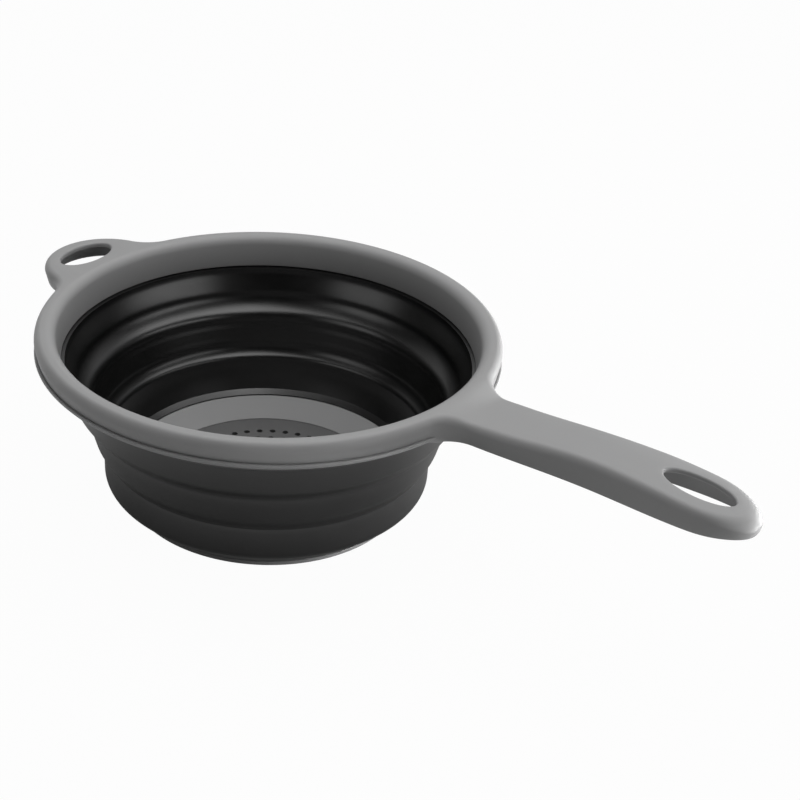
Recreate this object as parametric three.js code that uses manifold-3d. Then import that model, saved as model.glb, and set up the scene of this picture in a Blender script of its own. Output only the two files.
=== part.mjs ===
// Collapsible colander: a stiff rim with a long handle and a hanging ear, a soft wall that
// telescopes on two folds, and a drain base. Millimetres, +Z up, the bowl's axis on Z, the
// foot on z = 0, the handle along +X.
import * as THREE from 'three';
import { mergeVertices } from 'three/addons/utils/BufferGeometryUtils.js';
import Module from 'manifold-3d';

const wasm = await Module();
wasm.setup();

// Fit between pieces that touch
const TOUCH = 0.3;

// Rim, an inverted channel
const RIM_RADIUS = 100;
const RIM_WIDTH = 8.5;
const CROWN_INSET = 4.5;
const SKIRT_DRAFT = 1.2;
const LEG_HEIGHT = 14.4;
const LEG_DRAFT = 2.3;
const INNER_EDGE_DROP = 2.4;
const FRAME_HEIGHT = 9.8;
const SHELL = 2.2;
const EDGE_ROUND = 2.4;

// Handle and its hanging hole
const HANDLE_LENGTH = 125.2;
const HANDLE_ROOT_WIDTH = 28.8;
const HANDLE_WAIST_WIDTH = 26.4;
const HANDLE_END_WIDTH = 29.8;
const HANDLE_END_LENGTH = 27.2;
const HANDLE_END_POWER = 2.3;
const HANDLE_FILLET = 14;
const HANDLE_HEIGHT = 11.8;
const HANDLE_ROUND = 3;
const HANDLE_CROWN = 0.5;
const HANG_HOLE_LENGTH = 29.4;
const HANG_HOLE_WIDTH = 13.6;
const HANG_HOLE_MARGIN = 10.8;
const RIB_SPACING = 14;
const RIB_WIDTH = 1.6;
const RIB_RECESS = 1;

// Arch of the handle: share of its length from the rim, and drop of its top edge below the rim
const HANDLE_ARCH = [
  [-0.08, 0.6],
  [0.05, 2.2],
  [0.12, 2.6],
  [0.24, 1.7],
  [0.38, 0.1],
  [0.51, -0.4],
  [0.66, 0.1],
  [0.8, 1.7],
  [0.9, 3.1],
  [0.955, 4.9],
  [1, 7.4],
];

// Ear opposite the handle
const EAR_REACH = 23.2;
const EAR_RADIUS = 27.6;
const EAR_FILLET = 16;
const EAR_HEIGHT = 8.5;
const EAR_HOLE_LENGTH = 29;
const EAR_HOLE_WIDTH = 15.2;
const EAR_HOLE_MARGIN = 7.4;

// Soft wall: stiff bands joined by thin folds
const WALL = 2.4;
const WEB = 1.2;
const CUFF_INSET = 0.8;
const CUFF_HEIGHT = 12;
const CUFF_TAPER = 4.4;
const UPPER_FOLD_HEIGHT = 11.5;
const UPPER_FOLD_WIDTH = 6.5;
const MIDDLE_HEIGHT = 11;
const MIDDLE_TAPER = 3;
const LOWER_FOLD_HEIGHT = 8;
const LOWER_FOLD_WIDTH = 4.1;
const LIP_RISE = 3.3;
const DRUM_HEIGHT = 13.5;
const DRUM_TAPER = 0.4;
const CONE_RISE = 9.8;
const CONE_RUN = 9.2;
const CONE_WALL = 3.8;
const SHOULDER_BEVEL = 1.2;
const SEAT_RISE = 4.4;
const SEAT_OVERLAP = 2.6;
const SEAT_SLOPE = 1.5;
const STEM = 2;
const BEAD_WIDTH = 2.8;
const BEAD_HEIGHT = 5.7;

// Retaining ring under the rim
const RING_FLANGE = 1.2;
const RING_SHOW = 0.2;

// Base: plate, clamp ring and the flange of the wall between them
const FOOT_THICKNESS = 1.9;
const FOOT_INSET = 1.8;
const FLANGE_THICKNESS = 3;
const FLANGE_REACH = 5.4;
const WELD_RIB_WIDTH = 2;
const CLAMP_HEIGHT = 4.6;
const CLAMP_WIDTH = 13.9;
const CLAMP_EDGE = 0.8;
const FLOOR_DROP = 6.6;
const FLOOR_THICKNESS = 2.2;
const COLLAR = 2.4;
const HUB_RADIUS = 7;
const BASE_RIBS = 6;
const BASE_RIB_CLEARANCE = 0.8;
const NOTCH_WIDTH = 8;
const NOTCH_DEPTH = 0.9;
const DRAIN_DIAMETER = 2.8;
const DRAIN_PITCH = 6.4;
const DRAIN_MARGIN = 11.3;

// Facets
const ROUND = 48;
const HOLE_SIDES = 6;

// Heights, from the foot up
const flangeBottom = FOOT_THICKNESS + TOUCH;
const flangeTop = flangeBottom + FLANGE_THICKNESS;
const shoulderZ = flangeBottom + CONE_RISE;
const drumTop = shoulderZ + DRUM_HEIGHT;
const middleFold = drumTop + LOWER_FOLD_HEIGHT;
const middleTop = middleFold + MIDDLE_HEIGHT;
const cuffFold = middleTop + UPPER_FOLD_HEIGHT;
const legBottom = cuffFold + CUFF_HEIGHT;
const rimTop = legBottom + LEG_HEIGHT;
const frameBottom = rimTop - FRAME_HEIGHT;
const handleBottom = rimTop - HANDLE_HEIGHT;
const channelRoof = rimTop - SHELL;

// Radii of the inner face, from the rim inwards
const crownRadius = RIM_RADIUS - CROWN_INSET;
const innerEdge = RIM_RADIUS - RIM_WIDTH;
const legRadius = innerEdge - LEG_DRAFT;
const cuffTopRadius = legRadius - CUFF_INSET;
const cuffFoldRadius = cuffTopRadius - CUFF_TAPER;
const middleTopRadius = cuffFoldRadius - UPPER_FOLD_WIDTH;
const middleFoldRadius = middleTopRadius - MIDDLE_TAPER;
const drumTopRadius = middleFoldRadius - LOWER_FOLD_WIDTH;
const shoulderRadius = drumTopRadius - DRUM_TAPER;
const coneFoot = shoulderRadius + WALL - CONE_RUN;
const footRadius = coneFoot - FOOT_INSET;

const point = (r, z) => new THREE.Vector2(r, z);

// A straight face given by two points, as a radius at any height
function face(lowRadius, lowZ, highRadius, highZ) {
  return (z) => lowRadius + ((highRadius - lowRadius) * (z - lowZ)) / (highZ - lowZ);
}

const legInner = face(legRadius, legBottom, innerEdge, rimTop - INNER_EDGE_DROP);
const legOuter = (z) => legInner(z) + SHELL;
const skirtOuter = face(RIM_RADIUS - SKIRT_DRAFT, frameBottom, RIM_RADIUS, rimTop - CROWN_INSET);
const skirtInner = (z) => skirtOuter(z) - SHELL;
const cuffInner = face(cuffFoldRadius, cuffFold, cuffTopRadius, legBottom);
const upperWeb = face(middleTopRadius, middleTop, cuffFoldRadius, cuffFold);
const middleInner = face(middleFoldRadius, middleFold, middleTopRadius, middleTop);
const lowerWeb = face(drumTopRadius, drumTop, middleFoldRadius, middleFold);
const drumInner = face(shoulderRadius, shoulderZ, drumTopRadius, drumTop);
const coneOuter = face(coneFoot, flangeBottom, coneFoot + CONE_RUN, shoulderZ);

// A closed geometry as a solid for cutting and joining
function solidOf(geometry) {
  const plain = geometry.clone();
  plain.deleteAttribute('normal');
  plain.deleteAttribute('uv');
  const merged = mergeVertices(plain);
  return new wasm.Manifold(new wasm.Mesh({
    numProp: 3,
    vertProperties: new Float32Array(merged.attributes.position.array),
    triVerts: new Uint32Array(merged.index.array),
  }));
}

function geometryOf(solid) {
  const mesh = solid.getMesh();
  const indexed = new THREE.BufferGeometry();
  indexed.setAttribute('position', new THREE.BufferAttribute(mesh.vertProperties, 3));
  indexed.setIndex(new THREE.BufferAttribute(mesh.triVerts, 1));
  const flat = indexed.toNonIndexed();
  flat.computeVertexNormals();
  return flat;
}

// A closed section of radius and height points, turned about the bowl's axis
function revolve(section, sides = ROUND) {
  const loop = THREE.ShapeUtils.area(section) > 0 ? [...section] : [...section].reverse();
  const touchesAxis = loop.some((p) => p.x === 0);
  if (touchesAxis) {
    while (!(loop[0].x === 0 && loop[loop.length - 1].x === 0)) {
      loop.push(loop.shift());
    }
  } else {
    loop.push(loop[0].clone());
  }
  return solidOf(new THREE.LatheGeometry(loop, sides).rotateX(Math.PI / 2));
}

function disc(radius, low, high, sides = ROUND) {
  return revolve([point(0, low), point(radius, low), point(radius, high), point(0, high)], sides);
}

// Points along an arc, both ends included; angles in radians, either way round
function arc(x, y, radius, from, to, steps) {
  const points = [];
  for (let i = 0; i <= steps; i += 1) {
    const angle = from + ((to - from) * i) / steps;
    points.push(point(x + radius * Math.cos(angle), y + radius * Math.sin(angle)));
  }
  return points;
}

// A quarter of an ellipse from one point to another, leaving the first along the radius
function quarter(fromR, fromZ, toR, toZ, steps) {
  const points = [];
  for (let i = 0; i <= steps; i += 1) {
    const angle = (Math.PI / 2) * (i / steps);
    points.push(point(
      fromR + (toR - fromR) * Math.sin(angle),
      fromZ + (toZ - fromZ) * (1 - Math.cos(angle)),
    ));
  }
  return points;
}

// An elliptical hole
function ellipse(x, lengthX, lengthY, steps = 20) {
  const round = arc(0, 0, 1, 0, Math.PI * 2, steps).slice(1);
  return round.map((p) => point(x + (p.x * lengthX) / 2, (p.y * lengthY) / 2));
}

function extrude(points, low, high) {
  const shape = new THREE.Shape(points);
  const solid = new THREE.ExtrudeGeometry(shape, { depth: high - low, bevelEnabled: false });
  return solidOf(solid.translate(0, 0, low));
}

// A solid skinned over convex sections that follow each other along X
function loft(sections) {
  const size = sections[0].length;
  const last = (sections.length - 1) * size;
  const triangles = [];
  for (let i = 0; i < last; i += size) {
    for (let j = 0; j < size; j += 1) {
      const k = (j + 1) % size;
      triangles.push(i + j, i + k, i + size + j, i + k, i + size + k, i + size + j);
    }
  }
  for (let j = 1; j < size - 1; j += 1) {
    triangles.push(0, j + 1, j, last, last + j, last + j + 1);
  }
  return new wasm.Manifold(new wasm.Mesh({
    numProp: 3,
    vertProperties: new Float32Array(sections.flat(2)),
    triVerts: new Uint32Array(triangles),
  }));
}

// Plan of the handle: hollow fillets at the rim, a waist, and a long round end
const handleTip = RIM_RADIUS + HANDLE_LENGTH;
const handleEnd = handleTip - HANDLE_END_LENGTH;
const rootHalf = HANDLE_ROOT_WIDTH / 2;
const waistHalf = HANDLE_WAIST_WIDTH / 2;
const endHalf = HANDLE_END_WIDTH / 2;
const rootFilletY = rootHalf + HANDLE_FILLET;
const rootFilletX = Math.sqrt((RIM_RADIUS + HANDLE_FILLET) ** 2 - rootFilletY ** 2);
const rootStart = (RIM_RADIUS * rootFilletX) / (RIM_RADIUS + HANDLE_FILLET);
const waistX = (rootFilletX + handleEnd) / 2;
const hangHoleX = handleTip - HANG_HOLE_MARGIN - HANG_HOLE_LENGTH / 2;

function ease(from, to, share) {
  return from + ((to - from) * (1 - Math.cos(Math.PI * share))) / 2;
}

function handleHalf(x) {
  if (x < rootFilletX) {
    return rootFilletY - Math.sqrt(HANDLE_FILLET ** 2 - (rootFilletX - Math.max(x, rootStart)) ** 2);
  }
  if (x < waistX) {
    return ease(rootHalf, waistHalf, (x - rootFilletX) / (waistX - rootFilletX));
  }
  if (x < handleEnd) {
    return ease(waistHalf, endHalf, (x - waistX) / (handleEnd - waistX));
  }
  const share = Math.min(1, (x - handleEnd) / HANDLE_END_LENGTH);
  return endHalf * (1 - share ** HANDLE_END_POWER) ** (1 / HANDLE_END_POWER);
}

// Stations along the handle with the height of its top edge
const archAt = ([share, drop]) => point(RIM_RADIUS + share * HANDLE_LENGTH, rimTop - drop);
const stations = new THREE.SplineCurve(HANDLE_ARCH.map(archAt)).getPoints(30);

// The handle's outside: drafted sides, rounded upper edges and a slight crown
function handleBody() {
  return loft(stations.map(({ x, y: top }) => {
    const half = Math.max(handleHalf(x), SHELL / 2);
    const round = Math.min(HANDLE_ROUND, half * 0.8);
    const foot = Math.max(half - SKIRT_DRAFT, SHELL / 4);
    const right = [
      [x, foot, handleBottom],
      [x, half, top - round],
      [x, half - round * 0.13, top - round * 0.5],
      [x, half - round * 0.5, top - round * 0.13],
      [x, half - round, top],
    ];
    const left = [...right].reverse().map(([, y, z]) => [x, -y, z]);
    return [...right, [x, 0, top + (HANDLE_CROWN * half) / endHalf], ...left];
  }));
}

// Hollow under the handle, crossed by stiffening ribs
function handlePocket() {
  const low = handleBottom - SHELL;
  const inside = stations.filter(({ x }) => x > crownRadius && handleHalf(x) > HANDLE_ROUND * 2);
  let pocket = loft(inside.map(({ x, y: top }) => {
    const half = handleHalf(x) - SHELL;
    const foot = half - SKIRT_DRAFT;
    return [[x, -foot, low], [x, foot, low], [x, half, top - SHELL], [x, -half, top - SHELL]];
  }));
  pocket = pocket.subtract(disc(RIM_RADIUS, low, rimTop));
  const firstRib = RIM_RADIUS + RIB_SPACING;
  const lastRib = hangHoleX - HANG_HOLE_LENGTH / 2 - RIB_SPACING / 2;
  for (let x = firstRib; x <= lastRib; x += RIB_SPACING) {
    const rib = new THREE.BoxGeometry(RIB_WIDTH, HANDLE_END_WIDTH, HANDLE_HEIGHT);
    pocket = pocket.subtract(solidOf(rib.translate(x, 0, handleBottom + RIB_RECESS + HANDLE_HEIGHT / 2)));
  }
  return pocket;
}

// Ear: a round tab that runs into the rim through two hollow fillets
const earCentre = RIM_RADIUS + EAR_REACH - EAR_RADIUS;
const earHoleX = -(RIM_RADIUS + EAR_REACH - EAR_HOLE_MARGIN - EAR_HOLE_WIDTH / 2);
const earRimSpan = (RIM_RADIUS + EAR_FILLET) ** 2;
const earTabSpan = (EAR_RADIUS + EAR_FILLET) ** 2;
const earFilletX = (earRimSpan - earTabSpan + earCentre ** 2) / (2 * earCentre);
const earFilletY = Math.sqrt(earRimSpan - earFilletX ** 2);

function earBody() {
  const rimAngle = Math.PI - Math.atan2(earFilletY, earFilletX);
  const tabAngle = Math.atan2(earFilletY, earCentre - earFilletX);
  const upper = [
    ...arc(-earFilletX, earFilletY, EAR_FILLET, rimAngle - Math.PI, tabAngle - Math.PI, 5),
    ...arc(-earCentre, 0, EAR_RADIUS, tabAngle, Math.PI, 9).slice(1),
  ];
  upper.unshift(point(-legRadius / 2, upper[0].y));
  const lower = upper.slice(0, -1).reverse().map((p) => point(p.x, -p.y));
  const tab = solidOf(new THREE.ExtrudeGeometry(new THREE.Shape([...upper, ...lower]), {
    depth: EAR_HEIGHT,
    bevelThickness: EDGE_ROUND,
    bevelSize: EDGE_ROUND,
    bevelOffset: -EDGE_ROUND,
    bevelSegments: 3,
  }).translate(0, 0, rimTop - EAR_HEIGHT - EDGE_ROUND));
  return tab.trimByPlane([0, 0, 1], rimTop - EAR_HEIGHT);
}

// Hollow under the ear, between the rim's skirt and the ear's edge
function earPocket() {
  const low = frameBottom - SHELL;
  const tab = arc(-earCentre, 0, EAR_RADIUS - SHELL, 0, Math.PI * 2, 28).slice(1);
  return extrude(tab, low, channelRoof).subtract(disc(RIM_RADIUS, low, rimTop));
}

// Rim, handle and ear in one moulding, hollow from below
function rimFrame() {
  const crown = quarter(crownRadius, rimTop, innerEdge, rimTop - INNER_EDGE_DROP, 3);
  const outerEdge = quarter(crownRadius, rimTop, RIM_RADIUS, rimTop - CROWN_INSET, 4).reverse();
  const rim = revolve([
    point(skirtOuter(frameBottom), frameBottom),
    ...outerEdge,
    ...crown.slice(1),
    point(legRadius, legBottom),
    point(legOuter(legBottom), legBottom),
    point(legOuter(frameBottom), frameBottom),
  ]);
  const below = legBottom - SHELL;
  const above = rimTop + SHELL;
  const channel = revolve([
    point(legOuter(below), below),
    point(skirtInner(below), below),
    point(skirtInner(channelRoof), channelRoof),
    point(legOuter(channelRoof), channelRoof),
  ]);
  const hangHole = extrude(ellipse(hangHoleX, HANG_HOLE_LENGTH, HANG_HOLE_WIDTH), below, above);
  const earHole = extrude(ellipse(earHoleX, EAR_HOLE_WIDTH, EAR_HOLE_LENGTH), below, above);
  const inside = disc(crownRadius, below, above).add(disc(skirtOuter(frameBottom), below, frameBottom));
  const tabs = handleBody().add(earBody()).subtract(inside);
  const hollows = [channel, handlePocket(), earPocket(), hangHole, earHole];
  return hollows.reduce((body, hollow) => body.subtract(hollow), tabs.add(rim));
}

// Ring that closes the channel from below and carries the bead of the wall
const beadTop = channelRoof - TOUCH;
const beadBottom = beadTop - BEAD_HEIGHT;
const stemOuter = (z) => legOuter(z) + TOUCH + STEM;

function retainingRing() {
  const flangeHigh = frameBottom - TOUCH;
  const flangeLow = flangeHigh - RING_FLANGE;
  const top = beadBottom - TOUCH;
  const inside = stemOuter(top) + TOUCH;
  return revolve([
    point(inside, flangeLow),
    point(skirtOuter(frameBottom) - RING_SHOW, flangeLow),
    point(skirtOuter(frameBottom) - RING_SHOW, flangeHigh),
    point(skirtInner(frameBottom) - TOUCH, flangeHigh),
    point(skirtInner(frameBottom) - TOUCH, top),
    point(inside, top),
  ]);
}

// Upper band: bead and stem inside the rim, stiff band below it, lip over the upper fold
function upperBand() {
  const stemLow = legBottom - TOUCH;
  const flareHigh = stemLow - STEM / 4;
  const flareLow = flareHigh - WALL;
  const lip = middleTop + LIP_RISE;
  const beadOuter = (z) => legOuter(z) + TOUCH + BEAD_WIDTH;
  return revolve([
    point(cuffInner(lip) + WALL, lip),
    point(cuffInner(flareLow) + WALL, flareLow),
    point(stemOuter(flareHigh), flareHigh),
    point(stemOuter(beadBottom), beadBottom),
    point(beadOuter(beadBottom), beadBottom),
    point(beadOuter(beadTop), beadTop),
    point(legOuter(beadTop) + TOUCH, beadTop),
    point(legOuter(stemLow) + TOUCH, stemLow),
    point(cuffInner(stemLow), stemLow),
    point(cuffInner(cuffFold + TOUCH), cuffFold + TOUCH),
    point(upperWeb(cuffFold) + WEB + TOUCH, cuffFold + TOUCH),
    point(upperWeb(lip) + WEB + TOUCH, lip),
  ]);
}

// A thin fold between two bands
function fold(inner, low, high) {
  return revolve([
    point(inner(low + TOUCH) + WEB, low + TOUCH),
    point(inner(high) + WEB, high),
    point(inner(high), high),
    point(inner(low + TOUCH), low + TOUCH),
  ]);
}

// Middle band, with a lip over the lower fold
function middleBand() {
  const lip = drumTop + LIP_RISE;
  return revolve([
    point(middleInner(lip) + WALL, lip),
    point(middleTopRadius + WALL, middleTop),
    point(middleTopRadius, middleTop),
    point(middleInner(middleFold + TOUCH), middleFold + TOUCH),
    point(lowerWeb(middleFold) + WEB + TOUCH, middleFold + TOUCH),
    point(lowerWeb(lip) + WEB + TOUCH, lip),
  ]);
}

// Lower drum: straight wall, cone to the foot, a lip over the clamp ring, and the flange that the base holds
const clampBase = flangeTop + TOUCH;
const clampTop = clampBase + CLAMP_HEIGHT;
const seatTop = clampTop + SEAT_RISE;
const coneInner = (z) => coneOuter(z) - CONE_WALL - TOUCH;
const clampOuter = coneInner(clampTop) - TOUCH;
const seatInner = clampOuter - SEAT_OVERLAP;
const flangeInner = footRadius - FLANGE_REACH + FOOT_INSET;

function lowerDrum() {
  const shoulderLow = shoulderZ - SHOULDER_BEVEL;
  return revolve([
    point(flangeInner, flangeBottom),
    point(coneFoot, flangeBottom),
    point(coneOuter(shoulderLow), shoulderLow),
    point(drumInner(shoulderZ + TOUCH) + WALL, shoulderZ + TOUCH),
    point(drumTopRadius + WALL, drumTop),
    point(drumTopRadius, drumTop),
    point(drumInner(seatTop + WALL), seatTop + WALL),
    point(clampOuter, seatTop),
    point(seatInner + SEAT_SLOPE, seatTop),
    point(seatInner, clampTop + TOUCH),
    point(clampOuter + TOUCH * 2, clampTop + TOUCH),
    point(coneInner(flangeTop), flangeTop),
    point(flangeInner, flangeTop),
  ]);
}

// Clamp ring: the light dish round the floor, sloping down to it, with a weld rib below
const clampInner = clampOuter - CLAMP_WIDTH;
const weldOuter = flangeInner - TOUCH;
const weldInner = weldOuter - WELD_RIB_WIDTH;
const floorTop = clampTop - FLOOR_DROP;

function clampRing() {
  const edgeLow = floorTop + TOUCH;
  return revolve([
    point(clampInner, edgeLow),
    point(weldInner, edgeLow),
    point(weldInner, flangeBottom),
    point(weldOuter, flangeBottom),
    point(weldOuter, clampBase),
    point(coneInner(clampBase) - TOUCH, clampBase),
    point(clampOuter, clampTop),
    point(seatInner, clampTop),
    point(clampInner, edgeLow + CLAMP_EDGE),
  ]);
}

// Base plate: foot ring, collar, drain floor with ribs and a hub below it
function basePlate() {
  const floorLow = floorTop - FLOOR_THICKNESS;
  const collarOuter = weldInner - TOUCH;
  const collarInner = collarOuter - COLLAR;
  let plate = revolve([
    point(0, floorLow),
    point(collarInner, floorLow),
    point(collarInner, 0),
    point(footRadius, 0),
    point(footRadius, FOOT_THICKNESS),
    point(collarOuter, FOOT_THICKNESS),
    point(collarOuter, floorTop),
    point(0, floorTop),
  ]);
  plate = plate.add(disc(HUB_RADIUS, 0, floorTop, ROUND / 2));
  const ribLow = BASE_RIB_CLEARANCE;
  const ribHeight = floorTop - ribLow;
  const notchLength = footRadius - collarInner + COLLAR;
  for (let i = 0; i < BASE_RIBS; i += 1) {
    const angle = (i * Math.PI * 2) / BASE_RIBS;
    const rib = new THREE.BoxGeometry(collarOuter, RIB_WIDTH, ribHeight);
    rib.translate(collarOuter / 2, 0, ribLow + ribHeight / 2).rotateZ(angle);
    const notch = new THREE.BoxGeometry(notchLength, NOTCH_WIDTH, NOTCH_DEPTH * 2);
    notch.translate((footRadius + collarInner) / 2, 0, 0).rotateZ(angle + Math.PI / BASE_RIBS);
    plate = plate.add(solidOf(rib)).subtract(solidOf(notch));
  }
  return plate.subtract(drainHoles(clampInner - DRAIN_MARGIN));
}

// Rings of drain holes, each ring a whole number of holes between two ribs
function drainHoles(outermost) {
  const holes = [];
  for (let radius = outermost; radius > HUB_RADIUS + DRAIN_PITCH / 2; radius -= DRAIN_PITCH) {
    const perRib = Math.max(1, Math.round((Math.PI * 2 * radius) / (BASE_RIBS * DRAIN_PITCH)));
    const count = perRib * BASE_RIBS;
    for (let i = 0; i < count; i += 1) {
      const angle = ((i + 0.5) * Math.PI * 2) / count;
      const hole = new THREE.CylinderGeometry(DRAIN_DIAMETER / 2, DRAIN_DIAMETER / 2, floorTop * 3, HOLE_SIDES);
      hole.rotateX(Math.PI / 2).translate(radius * Math.cos(angle), radius * Math.sin(angle), 0);
      holes.push(solidOf(hole));
    }
  }
  return wasm.Manifold.union(holes);
}

// Finishes
const greyPlastic = new THREE.MeshStandardMaterial({ color: 0x8a8a8a, roughness: 0.55, metalness: 0 });
const basePlastic = new THREE.MeshStandardMaterial({ color: 0x7c7c7c, roughness: 0.6, metalness: 0 });
const blackRubber = new THREE.MeshStandardMaterial({ color: 0x1b1b1c, roughness: 0.35, metalness: 0 });

function piece(name, solid, material) {
  const mesh = new THREE.Mesh(geometryOf(solid), material);
  mesh.name = name;
  return mesh;
}

const base = new THREE.Group();
base.add(piece('base_plate', basePlate(), basePlastic));
base.add(piece('base_clamp_ring', clampRing(), greyPlastic));
base.add(piece('lower_drum', lowerDrum(), blackRubber));
base.add(piece('lower_fold', fold(lowerWeb, drumTop, middleFold), blackRubber));

const middle = new THREE.Group();
middle.add(piece('middle_band', middleBand(), blackRubber));
middle.add(piece('upper_fold', fold(upperWeb, middleTop, cuffFold), blackRubber));

const rim = new THREE.Group();
rim.add(piece('upper_band', upperBand(), blackRubber));
rim.add(piece('rim_retaining_ring', retainingRing(), greyPlastic));
rim.add(piece('rim_handle_frame', rimFrame(), greyPlastic));

const colander = new THREE.Group();
colander.name = 'collapsible_colander';
colander.add(base, middle, rim);

export default colander;
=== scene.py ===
"""Looks of a collapsible colander: grey moulded rim, handle and ear, folding black wall, drain base.

Metres, +Z up, the bowl's axis on Z, the foot on z = 0, the handle along +X.
"""

import logging
import math
from dataclasses import dataclass, field
from enum import Enum
from typing import Callable, Sequence

import bmesh
import bpy
import numpy as np
from mathutils import Matrix, Vector
from mathutils.geometry import delaunay_2d_cdt


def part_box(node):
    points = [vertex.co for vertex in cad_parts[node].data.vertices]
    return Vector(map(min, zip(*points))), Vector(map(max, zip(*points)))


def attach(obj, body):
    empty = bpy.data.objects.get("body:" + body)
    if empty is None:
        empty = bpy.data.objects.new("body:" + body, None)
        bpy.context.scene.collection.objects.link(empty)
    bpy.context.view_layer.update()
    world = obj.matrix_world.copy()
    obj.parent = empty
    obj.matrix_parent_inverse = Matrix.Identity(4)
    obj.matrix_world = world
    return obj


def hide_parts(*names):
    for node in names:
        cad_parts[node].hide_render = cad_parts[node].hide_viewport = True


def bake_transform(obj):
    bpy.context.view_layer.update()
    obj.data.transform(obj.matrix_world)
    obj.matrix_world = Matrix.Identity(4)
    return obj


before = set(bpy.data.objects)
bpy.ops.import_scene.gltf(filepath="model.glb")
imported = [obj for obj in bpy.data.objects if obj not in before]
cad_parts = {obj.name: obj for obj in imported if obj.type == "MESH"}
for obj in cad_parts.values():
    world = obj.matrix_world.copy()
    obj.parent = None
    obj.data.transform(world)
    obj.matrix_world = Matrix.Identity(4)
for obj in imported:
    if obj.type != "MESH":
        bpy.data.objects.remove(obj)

LOG = logging.getLogger("colander")

# Steps round the axis, shading angle, and limits for rounding and meshing
AROUND = 192
SMOOTH_ANGLE = math.radians(38)
STRAIGHT_HALF = math.radians(89.5)
CORNER_SHARE = 0.48
SAME_POINT = 1e-7
GRID_CLEARANCE = 0.0011

# Short names for types
Pair = tuple[float, float]
Triple = tuple[float, float, float]
Section = list[Pair]
Face = tuple[int, ...]
Curve = Callable[[float], float]
Piece = bpy.types.Object
Material = bpy.types.Material
Socket = bpy.types.NodeSocket


class Body(Enum):
    """Bodies of the frame that pieces ride on."""

    BASE = "base"
    MIDDLE = "middle"
    RIM = "rim"


class Slot(Enum):
    """Material slots of the record."""

    GREY = "grey_plastic"
    FLOOR = "base_plastic"
    RUBBER = "black_rubber"


# Sections and meshes


def rounded(corners: Sequence[Triple], steps: int = 6) -> Section:
    """Rounds the corners of a closed section.

    Args:
        corners: radius, height and rounding of each corner, in order.
        steps: arc steps of each rounded corner.

    Returns:
        The closed section's points, without a repeated last one.
    """
    points: Section = []
    count = len(corners)
    for i, (r, z, rounding) in enumerate(corners):
        here = Vector((r, z))
        before = Vector(corners[i - 1][:2]) - here
        after = Vector(corners[(i + 1) % count][:2]) - here
        half = before.angle(after) / 2
        if rounding <= 0 or half > STRAIGHT_HALF:
            points.append((r, z))
            continue
        reach = min(rounding / math.tan(half), before.length * CORNER_SHARE, after.length * CORNER_SHARE)
        start = here + before.normalized() * reach
        end = here + after.normalized() * reach
        for k in range(steps + 1):
            t = k / steps
            curve = start * (1 - t) ** 2 + here * 2 * t * (1 - t) + end * t**2
            points.append((curve.x, curve.y))
    return points


def quads(base: int, rows: int, size: int) -> list[Face]:
    """Numbers the faces between closed rows of points.

    Args:
        base: number of the first point.
        rows: how many rows there are.
        size: points in each row.

    Returns:
        The faces, row by row.
    """
    faces: list[Face] = []
    for low in range(base, base + (rows - 1) * size, size):
        for j in range(size):
            k = (j + 1) % size
            faces.append((low + j, low + k, low + size + k, low + size + j))
    return faces


def circle(radius: float, z: float, count: int) -> np.ndarray:
    """Gives points of a level circle about the bowl's axis."""
    angles = np.linspace(0, 2 * math.pi, count, endpoint=False)
    return np.c_[radius * np.cos(angles), radius * np.sin(angles), np.full(count, z)]


def finished(name: str, verts: Sequence, faces: Sequence, material: Material) -> Piece:
    """Makes a closed, outward-facing, smooth-shaded piece.

    Args:
        name: name of the piece.
        verts: vertex places in metres.
        faces: vertex numbers of each face.
        material: the piece's finish.

    Returns:
        The new object, linked to the scene.
    """
    piece = empty_piece(name)
    mesh = piece.data
    mesh.from_pydata([tuple(v) for v in verts], [], [tuple(f) for f in faces])
    work = bmesh.new()
    work.from_mesh(mesh)
    bmesh.ops.remove_doubles(work, verts=work.verts, dist=SAME_POINT)
    bmesh.ops.dissolve_degenerate(work, edges=work.edges, dist=SAME_POINT)
    bmesh.ops.recalc_face_normals(work, faces=work.faces)
    work.to_mesh(mesh)
    work.free()
    mesh.materials.append(material)
    mesh.shade_smooth()
    mesh.set_sharp_from_angle(angle=SMOOTH_ANGLE)
    return piece


def empty_piece(name: str) -> Piece:
    """Makes an object with an empty mesh and links it to the scene.

    Args:
        name: name of the object.

    Returns:
        The object.
    """
    piece = bpy.data.objects.new(name, bpy.data.meshes.new(name))
    bpy.context.scene.collection.objects.link(piece)
    return piece


def turned(name: str, section: Section, material: Material) -> Piece:
    """Turns a closed section about the bowl's axis.

    Args:
        name: name of the piece.
        section: radius and height points; points on the axis become one pole.
        material: the piece's finish.

    Returns:
        The turned piece.
    """
    points = np.vstack([circle(r, z, AROUND) for r, z in section])
    closed = min(r for r, _ in section) > 0
    rows = len(section) + 1 if closed else len(section)
    faces = [tuple(i % len(points) for i in face) for face in quads(0, rows, AROUND)]
    return finished(name, points, faces, material)


def joined(name: str, pieces: Sequence[Piece]) -> Piece:
    """Joins the meshes of several pieces into the first and names it.

    Args:
        name: name of the joined piece.
        pieces: the pieces, which share one finish.

    Returns:
        The joined piece.
    """
    work = bmesh.new()
    for piece in pieces:
        work.from_mesh(piece.data)
    keep = pieces[0]
    work.to_mesh(keep.data)
    work.free()
    for piece in pieces[1:]:
        bpy.data.objects.remove(piece)
    keep.name = name
    keep.data.name = name
    return keep


# Node trees


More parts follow.
